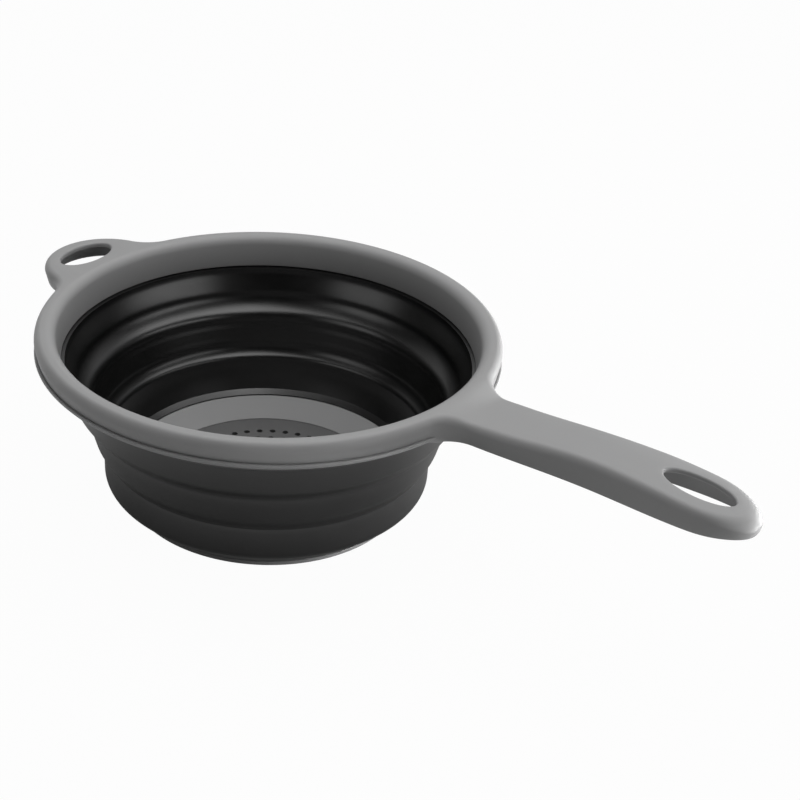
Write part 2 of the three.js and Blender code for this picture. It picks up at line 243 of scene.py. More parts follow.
class Wiring:
    """Adds wired nodes to a node tree."""

    def __init__(self, tree: bpy.types.NodeTree) -> None:
        """Takes the tree to build in."""
        self.tree = tree

    def wire(self, node: bpy.types.Node, inputs: dict) -> None:
        """Sets a node's inputs.

        Args:
            node: a node of the tree.
            inputs: sockets by name or number, each with a plain value or another node's output.
        """
        for key, value in inputs.items():
            if isinstance(value, Socket):
                self.tree.links.new(value, node.inputs[key])
            else:
                node.inputs[key].default_value = value

    def node(self, kind: str, inputs: dict | None = None, **settings: object) -> bpy.types.Node:
        """Adds a node.

        Args:
            kind: node type.
            inputs: its inputs, as for wire.
            settings: its properties.

        Returns:
            The node.
        """
        node = self.tree.nodes.new(kind)
        for key, value in settings.items():
            setattr(node, key, value)
        self.wire(node, inputs or {})
        return node

    def math(self, operation: str, *values: object) -> Socket:
        """Adds a math node and gives its result."""
        return self.node("ShaderNodeMath", dict(enumerate(values)), operation=operation).outputs[0]

    def ranged(self, value: Socket, span: Pair, result: Pair, easing: str = "LINEAR") -> Socket:
        """Maps a span of values to another and gives the result."""
        inputs = dict(zip(("Value", "From Min", "From Max", "To Min", "To Max"), (value, *span, *result)))
        return self.node("ShaderNodeMapRange", inputs, interpolation_type=easing).outputs["Result"]


class RepeatTree(Wiring):
    """A Geometry Nodes tree with named lengths that repeats things."""

    def __init__(self, name: str, lengths: dict[str, float]) -> None:
        """Starts a tree with geometry in and out and its named lengths.

        Args:
            name: name of the tree.
            lengths: value of each named length.
        """
        super().__init__(bpy.data.node_groups.new(name, "GeometryNodeTree"))
        sockets = self.tree.interface
        for way in ("INPUT", "OUTPUT"):
            sockets.new_socket("Geometry", in_out=way, socket_type="NodeSocketGeometry")
        self.values: dict[str, float] = {}
        for label, value in lengths.items():
            item = sockets.new_socket(label, in_out="INPUT", socket_type="NodeSocketFloat")
            self.values[item.identifier] = value
        self.entry = self.node("NodeGroupInput").outputs

    def copies(self, points: Socket, item: Socket, more: dict | None = None) -> Socket:
        """Sets an item on each point, with any further inputs, and gives the copies."""
        inputs = {"Points": points, "Instance": item, **(more or {})}
        return self.node("GeometryNodeInstanceOnPoints", inputs).outputs[0]

    def moved(self, item: Socket, z: float, turn: float = 0.0) -> Socket:
        """Lifts an item and turns it about the bowl's axis."""
        inputs = {"Geometry": item, "Translation": (0, 0, z), "Rotation": (0, 0, turn)}
        return self.node("GeometryNodeTransform", inputs).outputs[0]

    def block(self, *lengths: str) -> Socket:
        """Adds a block whose three sizes are named lengths."""
        size = self.node("ShaderNodeCombineXYZ", {i: self.entry[name] for i, name in enumerate(lengths)})
        return self.node("GeometryNodeMeshCube", {"Size": size.outputs[0]}).outputs["Mesh"]

    def fill(self, piece: Piece, geometry: Socket, material: Material) -> Piece:
        """Ends the tree in realized geometry with a finish, and keeps what it makes as a plain mesh.

        Args:
            piece: the object whose mesh enters the tree.
            geometry: what the tree has made.
            material: the finish.

        Returns:
            The same object with the made mesh.
        """
        real = self.node("GeometryNodeRealizeInstances", {"Geometry": geometry})
        dress = self.node("GeometryNodeSetMaterial", {"Geometry": real.outputs[0], "Material": material})
        self.node("NodeGroupOutput", {0: dress.outputs[0]})
        modifier = piece.modifiers.new(self.tree.name, "NODES")
        modifier.node_group = self.tree
        for identifier, value in self.values.items():
            modifier[identifier] = value
        graph = bpy.context.evaluated_depsgraph_get()
        made = bpy.data.meshes.new_from_object(piece.evaluated_get(graph), depsgraph=graph)
        piece.modifiers.remove(modifier)
        made.shade_smooth()
        made.set_sharp_from_angle(angle=SMOOTH_ANGLE)
        piece.data = made
        made.name = piece.name
        return piece


# Finishes


def mould_grain() -> bpy.types.NodeTree:
    """Builds the shared surface of moulded pieces: slow mottling and fine grain.

    Returns:
        A shader group with inputs Mottle Scale and Grain Scale, and outputs Mottle and Grain.
    """
    wiring = Wiring(bpy.data.node_groups.new("mould_grain", "ShaderNodeTree"))
    detail = {"Mottle": 3.0, "Grain": 2.0}
    for name in detail:
        wiring.tree.interface.new_socket(f"{name} Scale", in_out="INPUT", socket_type="NodeSocketFloat")
        wiring.tree.interface.new_socket(name, in_out="OUTPUT", socket_type="NodeSocketFloat")
    entry = wiring.node("NodeGroupInput").outputs
    leave = wiring.node("NodeGroupOutput")
    place = wiring.node("ShaderNodeTexCoord").outputs["Object"]
    for name, value in detail.items():
        inputs = {"Vector": place, "Scale": entry[f"{name} Scale"], "Detail": value}
        noise = wiring.node("ShaderNodeTexNoise", inputs)
        wiring.wire(leave, {name: noise.outputs["Fac"]})
    return wiring.tree


@dataclass(frozen=True)
class Finish:
    """A moulded surface: two close tones, a roughness range and a fine grain."""

    name: str
    tone: float
    tone_spread: float
    roughness: Pair
    mottle_scale: float
    grain_scale: float
    grain_depth: float
    specular: float = 0.5
    grain_strength: float = 0.35
    mottle_span: Pair = (0.3, 0.7)
    blue_lift: float = 1.005

    def material(self, grain: bpy.types.NodeTree) -> Material:
        """Builds the node material.

        Args:
            grain: the shared mould grain group.

        Returns:
            The finished material.
        """
        material = bpy.data.materials.new(self.name)
        material.use_nodes = True
        wiring = Wiring(material.node_tree)
        scales = {"Mottle Scale": self.mottle_scale, "Grain Scale": self.grain_scale}
        surface = wiring.node("ShaderNodeGroup", scales, node_tree=grain).outputs
        low, high = (self.tone * (1 + side * self.tone_spread) for side in (-1, 1))
        shades = {
            "Factor": surface["Mottle"],
            "A": (low, low, low * self.blue_lift, 1),
            "B": (high, high, high * self.blue_lift, 1),
        }
        tones = wiring.node("ShaderNodeMix", shades, data_type="RGBA")
        relief = {"Height": surface["Grain"], "Strength": self.grain_strength, "Distance": self.grain_depth}
        bump = wiring.node("ShaderNodeBump", relief)
        wiring.wire(
            material.node_tree.nodes["Principled BSDF"],
            {
                "Base Color": tones.outputs["Result"],
                "Roughness": wiring.ranged(surface["Mottle"], self.mottle_span, self.roughness),
                "Specular IOR Level": self.specular,
                "Normal": bump.outputs["Normal"],
            },
        )
        return material


GREY_PLASTIC = Finish("grey_plastic", 0.285, 0.04, (0.46, 0.56), 60.0, 2400.0, 0.00004)
# Clamp ring's grey; also painted light on the base plate's foot ring, whose side sits in shade
CLAMP_AND_PAINTED_LIT_FOOT = Finish("clamp_and_painted_lit_foot", 0.265, 0.04, (0.5, 0.6), 60.0, 2400.0, 0.00004)
FLOOR_PLASTIC = Finish("drain_plastic", 0.1, 0.04, (0.5, 0.6), 60.0, 2400.0, 0.00004)
BLACK_RUBBER = Finish("black_rubber", 0.0015, 0.15, (0.29, 0.35), 45.0, 1500.0, 0.00003, 1.0)


@dataclass
class Palette:
    """The finishes of the colander, built once."""

    grey: Material = field(init=False)
    clamp: Material = field(init=False)
    floor: Material = field(init=False)
    rubber: Material = field(init=False)

    def __post_init__(self) -> None:
        """Builds the materials on one shared grain."""
        grain = mould_grain()
        self.grey = GREY_PLASTIC.material(grain)
        # The clamp finish also serves as painted light on the foot ring
        self.clamp = CLAMP_AND_PAINTED_LIT_FOOT.material(grain)
        self.floor = FLOOR_PLASTIC.material(grain)
        self.rubber = BLACK_RUBBER.material(grain)


# Rim, handle and ear


@dataclass(frozen=True)
class Edge:
    """Outer edge at a plan point: width and drop of its rounding, height and inset of its foot."""

    width: float
    drop: float
    foot: float
    draft: float


@dataclass
class PlanOutline:
    """Closed plan outline, anticlockwise, with its edge at each point."""

    points: Section = field(default_factory=list)
    edges: list[Edge] = field(default_factory=list)
    same_point: float = 1e-6
    passes: int = 10

    def add(self, points: Sequence[Pair], edge: Callable[[float], Edge]) -> None:
        """Adds points that aren't repeats of the last one.

        Args:
            points: plan points.
            edge: gives the edge at a distance along the handle's axis.
        """
        for x, y in points:
            if not self.points or math.dist(self.points[-1], (x, y)) > self.same_point:
                self.points.append((x, y))
                self.edges.append(edge(x))

    def arrays(self) -> tuple[np.ndarray, np.ndarray, np.ndarray]:
        """Gives the outline as arrays.

        Returns:
            Points, outward normals and smoothed edge values.
        """
        points = np.array(self.points)
        if math.dist(points[0], points[-1]) < self.same_point:
            points = points[:-1]
        edges = np.array([(e.width, e.drop, e.foot, e.draft) for e in self.edges[: len(points)]])
        for _ in range(self.passes):
            edges = (np.roll(edges, 1, 0) + 2 * edges + np.roll(edges, -1, 0)) / 4
        along = np.roll(points, -1, 0) - np.roll(points, 1, 0)
        normals = np.c_[along[:, 1], -along[:, 0]]
        normals /= np.linalg.norm(normals, axis=1)[:, None]
        return points, normals, edges


def arc(x: float, y: float, radius: float, start: float, end: float, steps: int) -> Section:
    """Gives points along a plan arc about x, y, clockwise where its end angle is less than its start."""
    angles = np.linspace(start, end, steps + 1)
    return [(x + radius * math.cos(a), y + radius * math.sin(a)) for a in angles]


def smooth(share: np.ndarray | float) -> np.ndarray:
    """Eases from 0 to 1 as the share does."""
    share = np.clip(share, 0, 1)
    return share * share * (3 - 2 * share)


def within(places: np.ndarray, loops: Sequence[np.ndarray]) -> np.ndarray:
    """Tells which plan places lie inside a closed loop and outside its holes.

    Args:
        places: plan points to test.
        loops: the outer loop, then the holes.

    Returns:
        A flag for each place.
    """
    x, y = places[:, :1], places[:, 1:2]
    crossings = np.zeros(len(places), dtype=int)
    for loop in loops:
        after = np.roll(loop, -1, 0)
        crosses = (loop[:, 1] > y) != (after[:, 1] > y)
        rise = np.where(after[:, 1] == loop[:, 1], 1.0, after[:, 1] - loop[:, 1])
        meets = loop[:, 0] + (y - loop[:, 1]) * (after[:, 0] - loop[:, 0]) / rise
        crossings += np.sum(crosses & (x < meets), axis=1)
    return crossings % 2 == 1


def sheet(loops: Sequence[np.ndarray], grid: np.ndarray) -> tuple[np.ndarray, list[Face]]:
    """Fills a plan outline that has holes with even triangles.

    Args:
        loops: the outer loop, then the holes.
        grid: plan points to use inside it.

    Returns:
        The grid points kept, and triangles numbered over all the loops' points and then those.
    """
    rim = np.vstack(loops)
    grid = grid[within(grid, loops)]
    near = np.min(np.linalg.norm(grid[:, None] - rim[None], axis=2), axis=1)
    grid = grid[near > GRID_CLEARANCE]
    ties = []
    base = 0
    for loop in loops:
        ties += [(base + j, base + (j + 1) % len(loop)) for j in range(len(loop))]
        base += len(loop)
    places = np.vstack([rim, grid])
    out = delaunay_2d_cdt([Vector(p) for p in places], ties, [], 0, 1e-9)
    source = [ids[0] for ids in out[3]]
    faces = np.array([[source[i] for i in face] for face in out[2]])
    keep = within(places[faces].mean(axis=1), loops)
    return grid, [tuple(int(i) for i in face) for face in faces[keep]]


@dataclass
class RimFrame:
    """Rim, arched handle and hanging ear in one moulding, hollow from below."""

    palette: Palette
    shell: float = 0.0022
    rim_height: float = 0.0144
    rim_round: Pair = (0.003, 0.0042)
    inner_round: float = 0.0048
    inner_turn: float = 80.0
    inner_centre: float = 0.0956
    bowl_steps: int = 240
    leg_foot: float = 0.0892
    leg_round: Pair = (0.0008, 0.0005)
    leg_lean: float = 0.002
    skirt_draft: float = 0.0012
    grip_draft: float = 0.0004
    skirt_height: float = 0.0098
    grip_height: float = 0.0118
    foot_round: float = 0.0003
    foot_bend: float = 0.3
    roof_fillet: Pair = (0.0006, 0.0008)
    root_half: float = 0.0144
    waist_half: float = 0.0132
    end_half: float = 0.0149
    end_length: float = 0.0272
    end_power: float = 2.3
    least_half: float = 0.002
    root_fillet: float = 0.014
    root_inset: float = 0.0014
    grip_round: float = 0.003
    tip_start: float = 0.206
    tip_round: Pair = (0.0064, 0.005)
    tip_lift: float = 0.0016
    root_dip: float = 0.0026
    dip_zone: Pair = (0.0962, 0.0135)
    crown: float = 0.001
    crown_zone: Pair = (0.103, 0.02)
    hang_x: float = 0.1997
    hang_half: Pair = (0.0147, 0.0068)
    ear_radius: float = 0.0276
    ear_fillet: float = 0.016
    ear_round: float = 0.003
    ear_height: float = 0.0085
    ear_x: float = -0.1082
    ear_half: Pair = (0.0076, 0.0145)
    wall_spare: Pair = (0.004, 0.002)
    hole_round: float = 0.001
    hole_chamfer: float = 0.0004
    hole_steps: int = 72
    grid_step: float = 0.0025
    grid_half: float = 0.03
    grid_start: float = 0.092
    rib_spacing: float = 0.014
    rib_width: float = 0.0016
    rib_lift: float = 0.0015
    rib_sink: float = 0.0006
    rib_clear: float = 0.0019
    arch_zone: Pair = (0.015, 0.011)
    arch_steps: int = 120
    arch_passes: int = 40
    arch: tuple[Pair, ...] = (
        (0.112, 0.0), (0.124, 0.0003), (0.136, 0.0013), (0.148, 0.0024), (0.160, 0.0030), (0.170, 0.0030),
        (0.184, 0.0025), (0.196, 0.0014), (0.208, 0.0003), (0.214, -0.0004), (0.220, -0.0013),
        (0.2252, -0.0025),
    )

    def __post_init__(self) -> None:
        """Takes the overall sizes from the frame."""
        low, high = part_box("rim_handle_frame")
        self.radius = high.y
        self.tip = high.x
        self.ear_tip = -low.x
        self.leg_bottom = low.z
        self.top = low.z + self.rim_height
        self.bottom = self.top - self.grip_height
        self.skirt_foot = self.top - self.skirt_height
        self.roof = self.top - self.shell
        self.end_x = self.tip - self.end_length
        self.fillet_y = self.root_half + self.root_fillet
        self.fillet_x = math.sqrt((self.radius + self.root_fillet) ** 2 - self.fillet_y**2)

    def half(self, x: float) -> float:
        """Gives the handle's half width at a distance along it.

        Args:
            x: distance from the bowl's axis.

        Returns:
            The half width.
        """
        waist_x = (self.fillet_x + self.end_x) / 2
        if x >= self.end_x:
            share = min(1.0, (x - self.end_x) / self.end_length)
            return self.end_half * (1 - share**self.end_power) ** (1 / self.end_power)
        if x < waist_x:
            share = max(0.0, (x - self.fillet_x) / (waist_x - self.fillet_x))
            first, last = self.root_half, self.waist_half
        else:
            share = (x - waist_x) / (self.end_x - waist_x)
            first, last = self.waist_half, self.end_half
        return first + (last - first) * (1 - math.cos(math.pi * share)) / 2

    def lift(self, places: np.ndarray) -> np.ndarray:
        """Gives the rise of the flat-topped moulding that arches its handle.

        Args:
            places: points of the flat-topped moulding.

        Returns:
            The rise of each point.
        """
        x, y, z = places.T
        away = (np.abs(y), x, np.hypot(x, y))
        zones = (self.arch_zone, self.crown_zone, self.dip_zone)
        across, along, out = (smooth((v - start) / run) for v, (start, run) in zip(away, zones))
        tall = np.clip((z - self.bottom) / (self.roof - self.bottom), 0, 1)
        knots = np.array(self.arch)
        steps = np.linspace(knots[0, 0], knots[-1, 0], self.arch_steps)
        heights = np.interp(steps, knots[:, 0], knots[:, 1])
        for _ in range(self.arch_passes):
            heights[1:-1] = (heights[:-2] + 2 * heights[1:-1] + heights[2:]) / 4
        halves = np.array([max(self.half(v), self.least_half) for v in x])
        bulge = self.crown * np.clip(1 - (y / halves) ** 2, 0, 1) * along
        rise = np.interp(x, steps, heights) + bulge - self.root_dip * out
        return tall * (x > 0) * (1 - across) * rise

    def outline(self) -> PlanOutline:
        """Draws the plan outline from the handle's near side round its end, the rim and the ear.

        Returns:
            The outline.
        """
        root_angle = math.atan2(self.fillet_y, self.fillet_x)
        side = [(x, self.half(x)) for x in np.linspace(self.fillet_x, self.end_x, 41)]
        bend = 2 / self.end_power
        end = []
        for x, y in arc(0, 0, 1, -math.pi / 2, math.pi / 2, 64):
            across = math.copysign(self.end_half * abs(y) ** bend, y)
            end.append((self.end_x + self.end_length * abs(x) ** bend, across))
        centre = self.ear_tip - self.ear_radius
        rim_span = (self.radius + self.ear_fillet) ** 2
        tab_span = (self.ear_radius + self.ear_fillet) ** 2
        ear_x = (rim_span - tab_span + centre**2) / (2 * centre)
        ear_y = math.sqrt(rim_span - ear_x**2)
        rim_angle = math.pi - math.atan2(ear_y, ear_x)
        tab_angle = math.atan2(ear_y, centre - ear_x)

        def grip(x: float) -> Edge:
            """Edge along the handle, softer at its tip.

            Args:
                x: distance from the bowl's axis.

            Returns:
                The edge there.
            """
            share = float(smooth((x - self.tip_start) / (self.tip - self.tip_start)))
            width, drop = (self.grip_round + (tip - self.grip_round) * share for tip in self.tip_round)
            return Edge(width, drop, self.bottom + self.tip_lift * share, self.grip_draft)

        def rim(_: float) -> Edge:
            """Edge of the rim."""
            return Edge(*self.rim_round, self.skirt_foot, self.skirt_draft)

        def ear(_: float) -> Edge:
            """Edge of the ear, with a higher foot."""
            return Edge(self.ear_round, self.ear_round, self.top - self.ear_height, self.skirt_draft)

        turn = math.pi
        upper = [
            (arc(self.fillet_x, self.fillet_y, self.root_fillet, -turn / 2, root_angle - turn, 20), grip),
            (arc(0, 0, self.radius, root_angle, rim_angle, 104), rim),
            (arc(-ear_x, ear_y, self.ear_fillet, rim_angle - turn, tab_angle - turn, 14), ear),
            (arc(-centre, 0, self.ear_radius, tab_angle, turn, 28), ear),
        ]
        plan = PlanOutline()
        plan.add([(x, -y) for x, y in side], grip)
        plan.add(end, grip)
        plan.add(side[::-1], grip)
        for points, edge in upper:
            plan.add(points, edge)
        for points, edge in reversed(upper):
            plan.add([(x, -y) for x, y in reversed(points)], edge)
        return plan

    def edge_rows(self) -> list[np.ndarray]:
        """Rows of the outer wall from the roof inside, round the skirt's foot, up to the top.

        Returns:
            Rows of points.
        """
        points, normals, edges = self.outline().arrays()
        width, drop, foot, draft = edges.T
        small, bend = self.foot_round, self.foot_round * self.foot_bend
        wide, deep = self.roof_fillet
        inner = self.shell + draft
        steps = [
            (self.shell + wide, self.roof), (self.shell + wide / 3, self.roof - deep),
            (inner, foot + small), (inner - small, foot),
            (draft + small, foot), (draft + bend, foot + bend), (draft, foot + small),
        ]
        for turn in np.linspace(0, math.pi / 2, 11):
            steps.append((width * (1 - math.cos(turn)), self.top - drop * (1 - math.sin(turn))))
        rows = []
        for inset, z in steps:
            place = points - normals * np.broadcast_to(inset, len(points))[:, None]
            rows.append(np.c_[place, np.broadcast_to(z, len(points))])
        return rows

    def bowl_rows(self) -> list[np.ndarray]:
        """Rows of the inner side from the top, down the slope and up behind the leg to the roof.

        Returns:
            Rows of points.
        """
        centre, bend, foot, low = self.inner_centre, self.inner_round, self.leg_foot, self.leg_bottom
        behind = foot + self.shell
        front, back = self.leg_round
        section: Section = []
        for turn in np.radians(np.linspace(0, self.inner_turn, 11)):
            section.append((centre - bend * math.sin(turn), self.top - bend * (1 - math.cos(turn))))
        section += [
            (foot + front / 8, low + front), (foot + front * 3 / 8, low + front / 4), (foot + front, low),
            (behind - back, low), (behind, low + back), (behind + self.leg_lean, self.roof),
        ]
        return [circle(r, z, self.bowl_steps) for r, z in section]

    def hole_rows(self, x: float, half: Pair) -> list[np.ndarray]:
        """Rows of an elliptical hole from the top, down its wall to the roof.

        Args:
            x: centre along the handle's axis.
            half: half lengths along and across the axis.

        Returns:
            Rows of points.
        """
        along, across = circle(1.0, 0.0, self.hole_steps)[:, :2].T
        loop = np.c_[x + half[0] * along, half[1] * across]
        out = np.c_[half[1] * along, half[0] * across]
        out /= np.linalg.norm(out, axis=1)[:, None]
        edge, chamfer = self.hole_round, self.hole_chamfer
        offsets = []
        for turn in np.linspace(0, math.pi / 2, 6):
            offsets.append((edge * (1 - math.sin(turn)), self.top - edge * (1 - math.cos(turn))))
        offsets += [(0.0, self.roof + chamfer), (chamfer, self.roof)]
        return [np.c_[loop + out * offset, np.full(len(loop), z)] for offset, z in offsets]

    def shell_piece(self) -> Piece:
        """Builds the hollow moulding as one closed mesh, flat on top, and then arches its handle.

        Returns:
            The piece.
        """
        strips = [
            self.edge_rows(),
            self.bowl_rows(),
            self.hole_rows(self.hang_x, self.hang_half),
            self.hole_rows(self.ear_x, self.ear_half),
        ]
        verts: list[np.ndarray] = []
        faces: list[Face] = []
        starts: list[int] = []
        base = 0
        for rows in strips:
            starts.append(base)
            faces += quads(base, len(rows), len(rows[0]))
            verts.extend(rows)
            base += len(rows[0]) * len(rows)
        step = self.grid_step
        across, along = np.meshgrid(
            np.arange(-self.grid_half, self.grid_half + step / 2, step),
            np.arange(self.grid_start, self.tip, step),
        )
        grid = np.c_[along.ravel(), across.ravel()]
        for last, z in ((True, self.top), (False, self.roof)):
            numbers: list[int] = []
            loops = []
            for i, (rows, start) in enumerate(zip(strips, starts)):
                which = len(rows) - 1 if (i == 0) == last else 0
                size = len(rows[0])
                loops.append(rows[which][:, :2])
                numbers += range(start + which * size, start + (which + 1) * size)
            inside, triangles = sheet(loops, grid)
            numbers += range(base, base + len(inside))
            base += len(inside)
            verts.append(np.c_[inside, np.full(len(inside), z)])
            faces += [tuple(numbers[i] for i in triangle) for triangle in triangles]
        places = np.vstack(verts)
        places[:, 2] += self.lift(places)
        return finished("rim_handle_shell", places, faces, self.palette.grey)

    def root_wall(self, centre: float, half: float) -> Piece:
        """Builds the stretch of skirt that crosses under the handle or the ear.

        Args:
            centre: middle angle of the stretch.
            half: half its width.

        Returns:
            The wall, a closed arc.
        """
        spread = math.asin(half / self.radius)
        angles = np.linspace(centre - spread, centre + spread, 33)
        outer = self.radius - self.root_inset
        inner, foot = outer - self.shell, self.skirt_foot
        corners = ((inner, foot), (outer, foot), (outer, self.roof), (inner, self.roof))
        verts = [(r * math.cos(a), r * math.sin(a), z) for a in angles for r, z in corners]
        last = len(verts) - 4
        faces = [(3, 2, 1, 0), *quads(0, len(angles), 4), (last, last + 1, last + 2, last + 3)]
        return finished("root_wall", verts, faces, self.palette.grey)

    def ribs(self) -> Piece:
        """Builds the cross ribs with a node tree and fits them to the handle's hollow.

        Returns:
            The piece.
        """
        first = self.radius + self.rib_spacing
        last = self.hang_x - self.hang_half[0] - self.rib_spacing / 2
        count = 1 + int((last - first) / self.rib_spacing)
        low = self.bottom + self.rib_lift
        height = self.roof + self.rib_sink - low
        lengths = {"Spacing": self.rib_spacing, "Width": self.rib_width}
        lengths |= {"Length": self.waist_half * 2, "Height": height}
        tree = RepeatTree("cross_ribs", lengths)
        step = tree.node("ShaderNodeCombineXYZ", {"X": tree.entry["Spacing"]}).outputs[0]
        places = {"Count": count, "Start Location": (first, 0, low + height / 2), "Offset": step}
        line = tree.node("GeometryNodeMeshLine", places).outputs[0]
        ribs = tree.copies(line, tree.block("Width", "Length", "Height"))
        piece = tree.fill(empty_piece("handle_ribs"), ribs, self.palette.grey)
        for vertex in piece.data.vertices:
            vertex.co.y = math.copysign(self.half(vertex.co.x) - self.rib_clear, vertex.co.y)
            vertex.co.z += float(self.lift(np.array([(vertex.co.x, 0.0, vertex.co.z)]))[0])
        return piece

    def build(self) -> list[Piece]:
        """Builds and mounts the moulding and its ribs.

        Returns:
            The pieces.
        """
        handle_spare, ear_spare = self.wall_spare
        walls = [
            self.shell_piece(),
            self.root_wall(0, self.root_half + handle_spare),
            self.root_wall(math.pi, self.ear_radius + ear_spare),
        ]
        body = joined("rim_handle_shell", walls)
        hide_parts("rim_handle_frame")
        made = [body, self.ribs()]
        for piece in made:
            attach(piece, Body.RIM.value)
        return made


# Soft wall and the ring that hangs it


@dataclass(frozen=True)
class Profile:
    """Smooth face of the wall through knots of height, radius and slope."""

    knots: tuple[Triple, ...]

    def radius(self, z: float) -> float:
        """Gives the radius at a height.

        Args:
            z: the height, held within the knots.

        Returns:
            The radius of the face.
        """
        for (z0, r0, s0), (z1, r1, s1) in zip(self.knots, self.knots[1:]):
            if z <= z1:
                break
        span = z1 - z0
        t = min(1.0, max(0.0, (z - z0) / span))
        low = r0 * (2 * t**3 - 3 * t**2 + 1) + s0 * span * (t**3 - 2 * t**2 + t)
        return low + r1 * (3 * t**2 - 2 * t**3) + s1 * span * (t**3 - t**2)

    def points(self, low: float, high: float, offset: float = 0.0, steps: int = 30) -> Section:
        """Gives points of the face from one height to another, shifted outward by an offset."""
        return [(self.radius(float(z)) + offset, float(z)) for z in np.linspace(low, high, steps + 1)]


@dataclass
class SoftWall:
    """Black wall: stiff bands joined by thin folds that turn inside out as the bowl collapses."""

    palette: Palette
    wall: float = 0.0024
    web: float = 0.0012
    web_gap: float = 0.0003
    cuff_top: float = 0.0884
    cuff_taper: float = 0.0044
    upper_step: float = 0.0065
    middle_taper: float = 0.003
    lower_step: float = 0.0041
    drum_taper: float = 0.0004
    lip_rise: float = 0.0072
    lip_slope: float = 0.3
    lip_clear: Pair = (0.00005, 0.0001)
    lip_overlap: float = 0.0004
    lip_blunt: Pair = (0.0001, 0.0006)
    fold_slope: float = 1.16
    ledge_share: Pair = (0.39, 0.32)
    crease_slope: float = 0.05
    soft_crease: float = 0.12
    knot_reach: float = 0.004
    seam_rise: float = 0.0048
    seam_drop: float = 0.0045
    seam_ease: float = 0.0002
    stem_gap: float = 0.0003
    stem_drop: float = 0.0031
    stem_radii: Triple = (0.0938, 0.0949, 0.0917)
    bead_radii: Triple = (0.0957, 0.0968, 0.0940)
    bead_height: float = 0.0057
    cone_foot: float = 0.0632
    cone_run: float = 0.0094
    cone_rise: float = 0.0098
    flange_radii: Pair = (0.0578, 0.0619)
    flange_height: float = 0.003
    seat_reach: float = 0.0026
    seat_rise: float = 0.0027
    seat_gap: float = 0.0003
    ring_inset: Pair = (0.0036, 0.0023)
    ring_flange: float = 0.0015
    bead_reach: float = 0.0016
    bead_rise: Pair = (0.0016, 0.0025)

    def __post_init__(self) -> None:
        """Takes heights from the frame and draws the bands' inner faces."""
        self.cuff_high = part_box("upper_band")[1].z
        self.fold_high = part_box("upper_fold")[1].z
        self.middle_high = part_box("middle_band")[1].z
        self.lower_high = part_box("lower_fold")[1].z
        self.drum_low, self.drum_high = (corner.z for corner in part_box("lower_drum"))
        self.leg_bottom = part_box("rim_handle_frame")[0].z
        self.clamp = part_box("base_clamp_ring")[1]
        self.cuff_fold = self.cuff_top - self.cuff_taper
        self.middle_top = self.cuff_fold - self.upper_step
        self.middle_fold = self.middle_top - self.middle_taper
        self.drum_top = self.middle_fold - self.lower_step
        self.shoulder = self.drum_low + self.cone_rise
        self.seam = self.middle_high - self.seam_drop
        self.drum_seam = self.drum_high - self.knot_reach
        self.cuff_seam = self.fold_high + self.seam_rise
        self.middle_seam = self.lower_high + self.knot_reach
        self.cuff = self.line((self.cuff_fold, self.fold_high), (self.cuff_top, self.leg_bottom))
        self.middle = self.line((self.middle_fold, self.lower_high), (self.middle_top, self.middle_high))
        drum_foot = (self.drum_top - self.drum_taper, self.shoulder)
        self.drum = self.line(drum_foot, (self.drum_top, self.drum_high))
        self.face = self.inner_face()

    @staticmethod
    def line(low: Pair, high: Pair) -> Curve:
        """Gives a straight face's radius by height, from the radius and height of its ends."""
        slope = (high[0] - low[0]) / (high[1] - low[1])
        return lambda z: low[0] + slope * (z - low[1])

    def inner_face(self) -> Profile:
        """Draws the inner face: near-upright bands with rounded ledges between them.

        Returns:
            The face.
        """
        steep, crease, soft = self.fold_slope, self.crease_slope, self.soft_crease
        rise, run = self.ledge_share
        upper_z = self.middle_high + rise * (self.fold_high - self.middle_high)
        lower_z = self.drum_high + rise * (self.lower_high - self.drum_high)
        middle_end = self.middle_high - self.knot_reach
        cuff_start, cuff_end = self.fold_high + 0.003, self.leg_bottom - 0.0035
        return Profile((
            (self.clamp.z + self.seat_rise, self.clamp.x + 0.0001, 0.45),
            (self.drum_high - 0.003, self.drum_top - 0.0005, 0.22),
            (self.drum_high, self.drum_top, soft),
            (lower_z, self.drum_top + run * self.lower_step, steep),
            (self.lower_high, self.middle_fold, soft),
            (self.middle_seam, self.middle(self.middle_seam), 0.27),
            (middle_end, self.middle(middle_end), 0.25),
            (self.middle_high, self.middle_top, crease),
            (upper_z, self.middle_top + run * self.upper_step, steep),
            (self.fold_high, self.cuff_fold, crease),
            (cuff_start, self.cuff(cuff_start) - 0.0002, 0.42),
            (cuff_end, self.cuff(cuff_end) + 0.0002, 0.38),
            (self.leg_bottom, self.cuff_top - 0.0005, 0.0),
        ))

    def lip(self, tip: Pair, band: Curve) -> Section:
        """Draws the outer face of a lip, from its tip on the band below up to its own band.

        Args:
            tip: radius and height of the tip.
            band: inner radius of the lip's band, by height.

        Returns:
            The points, from the tip up.
        """
        high = tip[1] + self.lip_rise
        slope = (band(high) - band(tip[1])) / self.lip_rise
        face = Profile(((tip[1], tip[0], self.lip_slope), (high, band(high) + self.wall, slope)))
        return face.points(tip[1], high, steps=16)

